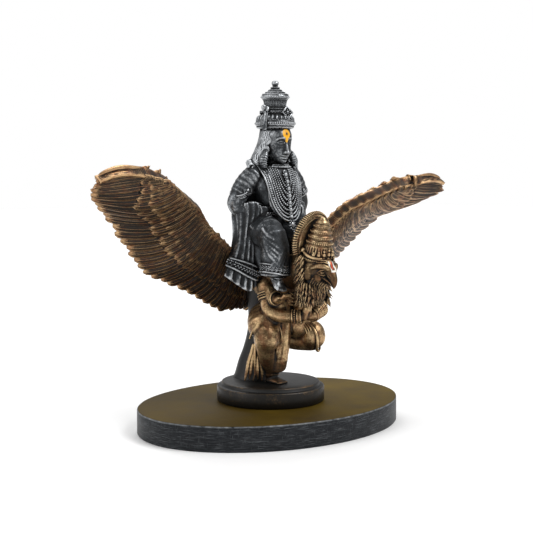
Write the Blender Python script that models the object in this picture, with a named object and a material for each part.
"""A cast resin statue: Vithoba riding on the winged Garuda, glued to an oval slab.

Metres, +Z up. The group faces -Y, its wings spread along X, and the origin is
at the middle of the slab's underside.
"""

import math

import bmesh
import bpy
from mathutils import Euler, Matrix, Vector

# Oval slab
SLAB_LENGTH = 0.252
SLAB_WIDTH = 0.190
SLAB_THICKNESS = 0.0213
SLAB_EDGE_ROUND = 0.0008
SLAB_SIDES = 96
GLUE_GAP = 0.0003

# Round two-step plinth, cast with the group
PLINTH_RADIUS = 0.0475
PLINTH_HEIGHT = 0.0134
STEP_RADIUS = 0.0436
STEP_HEIGHT = 0.0034
PLINTH_SIDES = 56

# The group, measured from the top of the plinth to the tip of the crown
GROUP_HEIGHT = 0.2616
WING_SPAN = 0.3960
WING_THICKNESS = 0.0100
LONG_FEATHERS = 20
COVERT_FEATHERS = 18
VANE_THICKNESS = 0.0050

# The casting's skin
SKIN_GRAIN = 0.0011
SKIN_SOFTENING = 3
SKIN_TRIANGLES = 9000

# The pose's points are shares of the group's height, written in units of which
# the height has POSE_UNITS, from the plinth's axis and top. The wings' ribs are
# written for a span of twice HALF_SPAN_UNITS and a middle thickness of RIB_UNITS.
POSE_UNITS = 261.6
HALF_SPAN_UNITS = 198.0
RIB_UNITS = 10.0
UNIT = GROUP_HEIGHT / POSE_UNITS
SPREAD = WING_SPAN / (2 * HALF_SPAN_UNITS * UNIT)
BULK = WING_THICKNESS / (RIB_UNITS * UNIT)
PLINTH_TOP = SLAB_THICKNESS + GLUE_GAP + PLINTH_HEIGHT + STEP_HEIGHT

FRONT = Vector((0, -1, 0))
UP = Vector((0, 0, 1))
FINISHES = {
    "silvered_black": ((0.10, 0.105, 0.11), 0.42, 0.75),
    "coppered_black": ((0.21, 0.12, 0.06), 0.42, 0.75),
    "gilded_black": ((0.09, 0.075, 0.03), 0.40, 0.30),
}


def clear_scene():
    for item in list(bpy.data.objects):
        bpy.data.objects.remove(item)


def finish(name):
    colour, roughness, metallic = FINISHES[name]
    material = bpy.data.materials.new(name)
    material.use_nodes = True
    shader = material.node_tree.nodes["Principled BSDF"]
    shader.inputs["Base Color"].default_value = (*colour, 1)
    shader.inputs["Roughness"].default_value = roughness
    shader.inputs["Metallic"].default_value = metallic
    material.diffuse_color = (*colour, 1)
    return material


def placed(x, y, z):
    """A pose point, in metres from the slab's underside."""
    return Vector((x, y, z)) * UNIT + Vector((0, 0, PLINTH_TOP))


def between(stations, steps):
    """Stations on a smooth curve through the given ones, with every value in a station eased alike."""
    if len(stations) < 3:
        return stations
    rows = [stations[0], *stations, stations[-1]]
    eased = []
    for before, start, end, after in zip(rows, rows[1:], rows[2:], rows[3:]):
        for step in range(steps):
            t = step / steps
            point = []
            for a, b, c, d in zip(before, start, end, after):
                bend = (2 * a - 5 * b + 4 * c - d) * t ** 2 + (3 * b - a - 3 * c + d) * t ** 3
                point.append(0.5 * (2 * b + (c - a) * t + bend))
            eased.append(point)
    return [*eased, stations[-1]]


def close_rings(clay, rings):
    """A closed form from a row of rings with the same number of points."""
    for ring, following in zip(rings, rings[1:]):
        for i in range(len(ring)):
            j = (i + 1) % len(ring)
            clay.faces.new((ring[i], ring[j], following[j], following[i]))
    clay.faces.new(rings[0][::-1])
    clay.faces.new(rings[-1])


def limb(clay, stations, face=FRONT, sides=10, steps=3):
    """A swept form.

    A station is x, y, z, half width and, where the form isn't round, half depth along face.
    """
    stations = [(*s, s[3]) if len(s) == 4 else s for s in stations]
    stations = between(stations, steps)
    centres = [placed(*s[:3]) for s in stations]
    rings = []
    for i, station in enumerate(stations):
        along = (centres[min(i + 1, len(centres) - 1)] - centres[max(i - 1, 0)]).normalized()
        across = along.cross(face)
        across = across.normalized() if across.length > 1e-4 else along.orthogonal().normalized()
        through = across.cross(along)
        width, depth = station[3] * UNIT, station[4] * UNIT
        ends = [(0, 1)]
        if i == 0:
            ends = [(-0.7, 0.62), (0, 1)]
        elif i == len(stations) - 1:
            ends = [(0, 1), (0.7, 0.62)]
        for forward, share in ends:
            middle = centres[i] + along * forward * min(width, depth)
            rings.append([
                clay.verts.new(
                    middle
                    + across * width * share * math.cos(2 * math.pi * k / sides)
                    + through * depth * share * math.sin(2 * math.pi * k / sides)
                )
                for k in range(sides)
            ])
    close_rings(clay, rings)


def ball(clay, x, y, z, radii, turn=(0, 0, 0)):
    """A rounded mass. turn is in degrees."""
    shape = Euler([math.radians(a) for a in turn]).to_matrix().to_4x4()
    size = Matrix.Diagonal((*(r * UNIT for r in radii), 1))
    bmesh.ops.create_icosphere(
        clay, subdivisions=2, radius=1, matrix=Matrix.Translation(placed(x, y, z)) @ shape @ size
    )


def turned(clay, x, y, z, profile, lean=(0, 0), sides=20):
    """A form turned about an axis that leans by degrees about X and Y from upright.

    The profile runs upwards and holds radius and height.
    """
    tilt = Euler((math.radians(lean[0]), math.radians(lean[1]), 0)).to_matrix()
    rings = [
        [
            clay.verts.new(placed(x, y, z) + tilt @ Vector((
                radius * math.cos(2 * math.pi * k / sides),
                radius * math.sin(2 * math.pi * k / sides),
                height,
            )) * UNIT)
            for k in range(sides)
        ]
        for radius, height in profile
    ]
    close_rings(clay, rings)


# The bird: a man's body with a bird's head, half kneeling on the plinth

def trunk(clay):
    """The smooth post behind the bird, flared where it leaves the plinth."""
    turned(clay, 0, 22, -2, [(21, 0), (19, 3), (17, 8)], sides=16)
    limb(clay, [
        (0, 21.5, 2, 17), (0, 20, 13, 14), (0, 17.5, 27, 11), (0, 15.5, 43, 10),
        (0, 14, 60, 11), (0, 11, 82, 14), (0, 2, 100, 16),
    ], sides=16)


def bird_legs(clay):
    """The right knee is raised in front of the body, the left leg is folded out to the side."""
    ball(clay, 0, -4, 56, (20, 16, 14))
    limb(clay, [(-9, -3, 56, 13.6), (-17, -11, 54, 13.6), (-21, -17, 49, 13)])
    ball(clay, -22, -21, 42, (11.5, 11.5, 13.5))
    limb(clay, [(-21, -18, 34, 8.5), (-16, -14, 22, 7), (-10, -11, 12, 6), (-7, -9, 6, 5.8)])
    limb(clay, [(-7, -7, 3, 5.5, 4), (-6.5, -14, 2, 6, 4), (-5, -21, 1, 6, 3)], face=UP)
    limb(clay, [(10, -5, 54, 13), (16, -15, 51.5, 13), (21, -23, 46, 12)])
    ball(clay, 22.5, -27, 42.5, (11, 11, 12.5))
    limb(clay, [(22, -24, 40.5, 9), (19, -12, 40, 9), (15, 0, 39, 8), (12, 8, 37, 6)])
    limb(clay, [(12, 8, 37, 5, 4), (10, 16, 35, 5, 4)])


def loincloth(clay):
    """Pleats hang from the belt between the legs and gather at the ankle, beside the tail's plumes."""
    for i in range(4):
        t = i / 3
        limb(clay, [
            (-6 + 11 * t, -21, 54, 3, 3), (-7 + 10.5 * t, -20.5 - 1.5 * t, 40, 2.8, 3),
            (-9 + 11 * t, -18 - 3.5 * t, 26, 3, 3.4), (-12 + 13 * t, -15 - 5 * t, 17, 3.4, 4),
        ], sides=8)
    ball(clay, -5, -15, 17, (9, 6, 5))
    for i in range(4):
        limb(clay, [
            (-23 - 0.4 * i, -12 + 1.5 * i, 37, 2.2), (-20 - 1.8 * i, -10 + 2 * i, 20, 2.2),
            (-17.5 - 3 * i, -9 + 2.2 * i, 4, 2),
        ], sides=6)


def bird_torso(clay):
    limb(clay, [
        (0, -3, 52, 18, 15), (0, -7, 66, 16, 14), (0, -11, 78, 20, 17), (0, -14, 90, 22, 17),
        (0, -16, 98, 16, 14),
    ], sides=14)
    ball(clay, 0, 2, 92, (19, 17, 22))


def bird_arms(clay):
    """Two arms fold the palms together, two more hold up the rider's feet."""
    limb(clay, [
        (-19, -15, 87, 7), (-20, -19, 77, 6.2), (-20, -21, 67, 6.2), (-17, -27, 62, 6), (-9, -37, 60.5, 5.6),
        (-3, -43, 60.5, 4.8),
    ])
    limb(clay, [
        (19, -20, 87, 7.5), (22, -32, 77, 6.6), (23, -40, 67.5, 6), (14, -45, 63, 5.8), (7, -47, 61.5, 5.2),
        (2, -46.5, 61, 4.6),
    ])
    limb(clay, [(0, -45, 60, 4, 3.5), (1, -49, 68, 4.2, 3.6), (1.5, -51, 75, 2.5, 2.5)])
    for side in (-1, 1):
        limb(clay, [
            (side * 17, -14, 86, 7), (side * 20, -24, 79, 6), (side * 19.5, -31, 76, 5.4, 5),
            (side * 19, -36, 77, 5, 4),
        ])


def bird_head(clay):
    """A brow, a broad hooked beak, and a mane of locks that runs down into a beard."""
    limb(clay, [(0, -16, 92, 15), (0, -30, 100, 15), (0, -46, 102, 13.5)], sides=12)
    ball(clay, 0, -60, 103, (12.5, 16.5, 14))
    limb(clay, [
        (0, -70, 101.5, 6.5, 5), (0, -77.5, 99.5, 4.2, 4.6), (0, -80.4, 95, 3, 3.6), (0, -80.8, 91, 2, 2.4),
        (0, -79.6, 88, 1, 1.2),
    ], steps=4)
    ball(clay, 0, -56, 88, (11.5, 12, 13))
    for side in (-1, 1):
        limb(clay, [(side * 11, -66, 105, 1.8), (side * 6.8, -75, 105.4, 2.2), (side * 2, -78, 103, 2)], sides=6)
        for row in range(4):
            for lock in range(4):
                turn = math.radians(10 + 32 * lock)
                wide = 12.4 - 0.5 * row
                x = side * wide * math.sin(turn)
                y = -54 + wide * math.cos(turn)
                z = 110 - 8 * row
                limb(clay, [
                    (x, y, z, 3.2), (x * 1.1, y + 0.5, z - 7, 2.8), (x * 1.08, y, z - 13, 1.2),
                ], sides=5, steps=1)
    for lock in range(7):
        x = -10.5 + 3.5 * lock
        limb(clay, [
            (x, -66 + 0.07 * x * x, 92, 3), (x, -65 + 0.08 * x * x, 84, 3), (x * 0.7, -61 + 0.1 * x * x, 76, 1.6),
        ], sides=6, steps=2)


def bird_crown(clay):
    """A ringed cap under a ribbed arch."""
    turned(clay, 0, -60.5, 113, [
        (10, -4), (12, -1), (12, 2), (10.6, 3.6), (11.2, 6), (11, 9), (9.4, 10.4), (10, 13), (9.4, 16),
        (7.6, 17.6), (8, 20), (6.6, 23), (5, 25), (4.6, 28), (0.8, 32),
    ], lean=(12, 0))
    arch = []
    for i in range(13):
        turn = math.radians(-116 + 232 * i / 12)
        arch.append((16.5 * math.sin(turn), -52.5 - 6 * math.cos(turn), 127 + 20 * math.cos(turn), 3, 2.4))
    limb(clay, arch, sides=8, steps=2)
    ball(clay, 0, -54, 127, (15.5, 2.4, 19.5), (14, 0, 0))


# The rider: seated on the bird's shoulders, hands on the hips

def rider_body(clay):
    limb(clay, [
        (0, 2, 120, 17, 13), (0, 2, 134, 20, 16), (0, 0, 146, 16, 13), (0, -2, 162, 19, 14),
        (0, -3, 176, 24, 14), (0, -2, 184, 19, 11), (0, -3, 189, 8, 7),
    ], sides=16)
    limb(clay, [(0, -3, 182, 7.5), (0, -5, 196, 7)], sides=12)


def garland(clay):
    """The flat panel of strung beads that covers the chest down to the lap, with its pendant."""
    limb(clay, [
        (0, -10, 188, 12, 4), (0, -14.5, 180, 18.5, 4), (0, -18.5, 168, 19, 4.5), (0, -19.5, 156, 18, 4.5),
        (0, -21.5, 148, 13, 4), (0, -23.5, 142, 5, 3),
    ], sides=14)
    ball(clay, 0, -28, 137, (3.4, 2.4, 4))


def rider_arms(clay):
    for side in (-1, 1):
        limb(clay, [
            (side * 20, -2, 181, 8.5), (side * 28.5, 0, 172, 8.3), (side * 34, 2, 163, 7.8),
            (side * 37.5, 3, 156, 7.2), (side * 34, 1, 151, 6.5), (side * 26, -6, 150, 5.5),
            (side * 19, -10, 150, 4.5),
        ])
        turned(clay, side * 31, -4, 167, [(5, 0), (5, 5), (3.4, 6.4)], lean=(90, side * -35), sides=12)


def rider_legs(clay):
    """The knees point forwards and the feet hang down to the bird's palms."""
    for side in (-1, 1):
        limb(clay, [(side * 10, 0, 131, 15), (side * 18, -14, 132, 14.5), (side * 24, -28, 131, 13)], sides=12)
        limb(clay, [
            (side * 24, -29, 130, 12.5), (side * 23, -32, 120, 12.5, 11.5), (side * 22, -31, 108, 12.5, 11),
            (side * 21, -30, 101, 14, 11),
        ], sides=12)
        limb(clay, [(side * 21, -31, 101, 5), (side * 21, -32.5, 94, 5)], sides=8)
        limb(clay, [
            (side * 21, -32, 94, 5.2, 4.6), (side * 21.5, -36, 89, 5.8, 4), (side * 22, -39.5, 84, 5.2, 2.8),
        ], sides=8)
        for fold in range(4):
            x = side * (12 + 7.5 * fold)
            limb(clay, [(x * 0.9, -39, 134, 1.6), (x * 0.98, -43, 120, 1.8), (x, -41, 104, 1.5)], sides=5)


def shawl(clay):
    """A long scarf falls from each forearm and flares to a slanting hem beside the leg."""
    for side in (-1, 1):
        for fold in range(4):
            t = fold / 3
            limb(clay, [
                (side * (20 + 15 * t), -11 + 9 * t, 154, 3, 3), (side * (23 + 13 * t), -11 + 9 * t, 142, 3, 3.2),
                (side * (26 + 10 * t), -9 + 7 * t, 120, 3, 3.2),
                (side * (27 + 12 * t), -8.5 + 8 * t, 104, 3.6, 3.2),
                (side * (26 + 20 * t), -8 + 10 * t, 86 + 8 * t * t, 4.6, 3.2),
            ], sides=8)
        limb(clay, [
            (side * 18, 5, 142, 12, 5), (side * 25, 4, 118, 11, 4), (side * 28, 4, 92, 13, 3.4),
        ], sides=10)


def rider_head(clay):
    """An oval head with long locks on the shoulders and heavy pendants at the ears."""
    ball(clay, 0, -9, 206, (12, 13.5, 15.5))
    ball(clay, 0, -13, 199, (9, 9.5, 9))
    limb(clay, [(0, -22, 209, 1.6), (0, -24.5, 203, 2.2)], sides=6)
    limb(clay, [(0, 6, 216, 12, 8), (0, 9, 200, 15, 8), (0, 11, 186, 17, 6), (0, 11, 178, 12, 4)], sides=12)
    for side in (-1, 1):
        limb(clay, [
            (side * 12, -2, 214, 4), (side * 15, 1, 203, 4.6), (side * 18, 3, 193, 4.8), (side * 23, 3, 188, 4.4),
        ])
        limb(clay, [(side * 12.5, -5, 203, 3), (side * 15, -7, 197, 4.4), (side * 16, -8, 190, 4.6)], sides=8)
        ball(clay, side * 13, -7, 207, (2.4, 3.4, 4.6))


def rider_crown(clay):
    """The tall tiered crown, drawn in above the brow band and flared again under its lid."""
    turned(clay, 0, -6, 217, [
        (13.5, -2), (15.5, 1), (17, 5), (16.6, 8), (15, 10), (15.2, 13), (13.6, 17), (11.4, 19), (10.6, 21),
        (10.6, 25), (11.6, 29), (12.6, 31), (12.6, 33), (8.5, 35.5), (4.4, 38.5), (2.6, 40), (2.4, 41.5),
        (3.3, 42.6), (2.6, 44), (0.6, 44.6),
    ], lean=(2, 0), sides=24)


# The wings: thick slabs, square along the leading edge, whose feathers fan out and back from the bone

# From the root to the tip, each rib as its start on the bone with the wing's thickness there,
# then its end with the thickness there
RIBS = [
    ((-6, 17, 70, 12), (-8, 28, 62, 5)),
    ((4, 20, 86, 12), (1, 33, 61, 5)),
    ((20, 18, 105, 12), (11, 38, 61, 4)),
    ((31, 14, 114, 12), (26, 42, 60, 4)),
    ((43, 9, 122, 12), (50, 42, 73, 4)),
    ((58, 3, 131, 11), (79, 40, 87, 4)),
    ((69, -2, 138, 11), (106, 36, 97, 4)),
    ((77, -5, 146, 11), (124, 34, 112, 4)),
    ((85, -9, 154, 11), (138, 27, 128, 4)),
    ((98, -14, 161, 12), (158, 14, 147, 5)),
    ((113, -20, 169, 13), (185, -10, 160, 6)),
    ((128, -26, 177, 13), (197, -24, 168, 8)),
    ((150, -31, 182, 11), (192, -29, 177, 9)),
]
RIB_SAG = Vector((-0.10, 0.02, -0.13))
LEFT_TIP_DROP = 7.0
COVERT_REACH = 0.60
COVERT_STEP = 0.16


def rib_at(share):
    """The two ends of the rib at this share of the way from root to tip."""
    spot = min(max(share, 0), 1) * (len(RIBS) - 1)
    low = min(int(spot), len(RIBS) - 2)
    t = spot - low
    return [[(1 - t) * a + t * b for a, b in zip(near, far)] for near, far in zip(RIBS[low], RIBS[low + 1])]


def wing_middle(side, share, chord):
    """A point of the wing's middle surface and the wing's thickness there.

    share runs from the root to the tip, chord from the bone to the feathers' ends.
    """
    bone, end = rib_at(share)
    root, tip = Vector(bone[:3]), Vector(end[:3])
    sag = (tip - root).length * math.sin(math.pi * min(max(chord, 0), 1)) * min(1.6 - share, 1)
    point = root.lerp(tip, chord) + RIB_SAG * sag
    point.x *= side * SPREAD
    if side > 0:
        point.z -= LEFT_TIP_DROP * share ** 3 * (1 - 0.7 * chord)
    return point, bone[3] + (end[3] - bone[3]) * min(max(chord, 0), 1) ** 0.7


def wing_facing(side, share, chord):
    """The direction square to the wing's middle surface, towards the front."""
    nearer, farther = max(share - 0.02, 0), min(share + 0.02, 1)
    higher, lower = max(chord - 0.05, 0), min(chord + 0.05, 1)
    along = wing_middle(side, farther, chord)[0] - wing_middle(side, nearer, chord)[0]
    down = wing_middle(side, share, lower)[0] - wing_middle(side, share, higher)[0]
    facing = along.cross(down).normalized()
    return facing if facing.y < 0 else -facing


def vanes_end(share):
    return 0.93


def coverts_end(share):
    """How far down the ribs the coverts reach. They end in a slanting step near the tip."""
    return COVERT_REACH * min(1, (1 - share) / COVERT_STEP) ** 0.6


def slab_of_wing(clay, side, ending, thickness_share, shift, shares=(0, 1)):
    """One thick sheet along the ribs, from the bone to the share of their length that ending gives."""
    steps, rows = 26, 8
    front, back = [], []
    for i in range(steps + 1):
        share = shares[0] + (shares[1] - shares[0]) * i / steps
        for j in range(rows + 1):
            chord = ending(share) * j / rows
            middle, thick = wing_middle(side, share, chord)
            facing = wing_facing(side, share, chord)
            half = facing * thick * thickness_share * BULK / 2
            front.append(clay.verts.new(placed(*(middle + half + facing * shift))))
            back.append(clay.verts.new(placed(*(middle - half + facing * shift))))
    width = rows + 1
    for i in range(steps):
        for j in range(rows):
            a, b, c, d = i * width + j, i * width + j + 1, (i + 1) * width + j + 1, (i + 1) * width + j
            clay.faces.new((front[a], front[b], front[c], front[d]))
            clay.faces.new((back[d], back[c], back[b], back[a]))
    edge = [i * width for i in range(steps + 1)]
    edge += [steps * width + j for j in range(1, width)]
    edge += [i * width + rows for i in range(steps - 1, -1, -1)]
    edge += [j for j in range(rows - 1, 0, -1)]
    for a, b in zip(edge, edge[1:] + edge[:1]):
        clay.faces.new((front[b], front[a], back[a], back[b]))


def feather(clay, side, share, start, end, thick, face_share):
    """A vane along a rib. face_share is 1 where it lies on the wing's front face and -1 on its back."""
    stations = []
    for i in range(7):
        chord = start + (end - start) * i / 6
        middle, wing_thick = wing_middle(side, share, chord)
        facing = wing_facing(side, share, chord)
        nearer, farther = max(share - 0.03, 0), min(share + 0.03, 1)
        spread = (wing_middle(side, farther, chord)[0] - wing_middle(side, nearer, chord)[0]).length
        half_width = max(spread / (farther - nearer) / LONG_FEATHERS * 0.56, 1.6)
        out = face_share * wing_thick * BULK / 2
        stations.append((*(middle + facing * out), half_width * (0.7 if i == 6 else 1), thick / 2))
    limb(clay, stations, face=wing_facing(side, share, (start + end) / 2), sides=8, steps=1)


def wing(clay, side):
    vane = VANE_THICKNESS / UNIT
    slab_of_wing(clay, side, vanes_end, 0.82, 0)
    slab_of_wing(clay, side, coverts_end, 0.8, 1.2, shares=(0.08, 0.995))
    for i in range(LONG_FEATHERS):
        share = (i + 0.5) / LONG_FEATHERS
        reach = 1 + 0.02 * math.sin(5 * i)
        feather(clay, side, share, 0.30, reach, vane, 0.25 + 0.12 * (i % 2))
        feather(clay, side, share, 0.10, 0.95 * reach, vane, -0.55 - 0.12 * (i % 2))
    for i in range(COVERT_FEATHERS):
        share = 0.1 + 0.87 * (i + 0.5) / COVERT_FEATHERS
        feather(clay, side, share, 0.06, coverts_end(share) * (1.02 + 0.05 * math.sin(3 * i)), vane, 0.9)


# Putting the object together

def plinth(clay):
    """Two flat round steps, the lower one a little wider."""
    bottom = SLAB_THICKNESS + GLUE_GAP
    overlap = STEP_HEIGHT / 2
    for radius, low, high in (
        (PLINTH_RADIUS, bottom, bottom + PLINTH_HEIGHT),
        (STEP_RADIUS, bottom + PLINTH_HEIGHT - overlap, PLINTH_TOP),
    ):
        bmesh.ops.create_cone(
            clay, cap_ends=True, segments=PLINTH_SIDES, radius1=radius, radius2=radius, depth=high - low,
            matrix=Matrix.Translation((0, 0, (low + high) / 2)),
        )


def oval_slab():
    clay = bmesh.new()
    stretch = Matrix.Diagonal((SLAB_LENGTH, SLAB_WIDTH, 1, 1))
    bmesh.ops.create_cone(
        clay, cap_ends=True, segments=SLAB_SIDES, radius1=0.5, radius2=0.5, depth=SLAB_THICKNESS,
        matrix=Matrix.Translation((0, 0, SLAB_THICKNESS / 2)) @ stretch,
    )
    mesh = bpy.data.meshes.new("oval_slab")
    clay.to_mesh(mesh)
    clay.free()
    slab = bpy.data.objects.new("oval_slab", mesh)
    bpy.context.scene.collection.objects.link(slab)
    edge = slab.modifiers.new("edge", "BEVEL")
    edge.width = SLAB_EDGE_ROUND
    edge.segments = 1
    edge.limit_method = "ANGLE"
    mesh.materials.append(finish("gilded_black"))
    return slab


def casting():
    """Every form of the group, melted into one skin and thinned to a workable number of faces."""
    clay = bmesh.new()
    for form in (
        plinth, trunk, bird_legs, loincloth, bird_torso, bird_arms, bird_head, bird_crown,
        rider_body, garland, rider_arms, rider_legs, shawl, rider_head, rider_crown,
    ):
        form(clay)
    for side in (-1, 1):
        wing(clay, side)
    bmesh.ops.recalc_face_normals(clay, faces=clay.faces)
    raw = bpy.data.meshes.new("clay")
    clay.to_mesh(raw)
    clay.free()
    group = bpy.data.objects.new("garuda_and_vithoba", raw)
    bpy.context.scene.collection.objects.link(group)
    melt = group.modifiers.new("melt", "REMESH")
    melt.mode = "VOXEL"
    melt.voxel_size = SKIN_GRAIN
    soften = group.modifiers.new("soften", "SMOOTH")
    soften.iterations = SKIN_SOFTENING
    skin = bpy.data.meshes.new_from_object(group.evaluated_get(bpy.context.evaluated_depsgraph_get()))
    skin.calc_loop_triangles()
    thinning = SKIN_TRIANGLES / len(skin.loop_triangles)
    group.modifiers.clear()
    group.data = skin
    thin = group.modifiers.new("thin", "DECIMATE")
    thin.ratio = thinning
    skin.materials.clear()
    skin.materials.append(finish("coppered_black"))
    return group


def main():
    clear_scene()
    oval_slab()
    casting()


main()
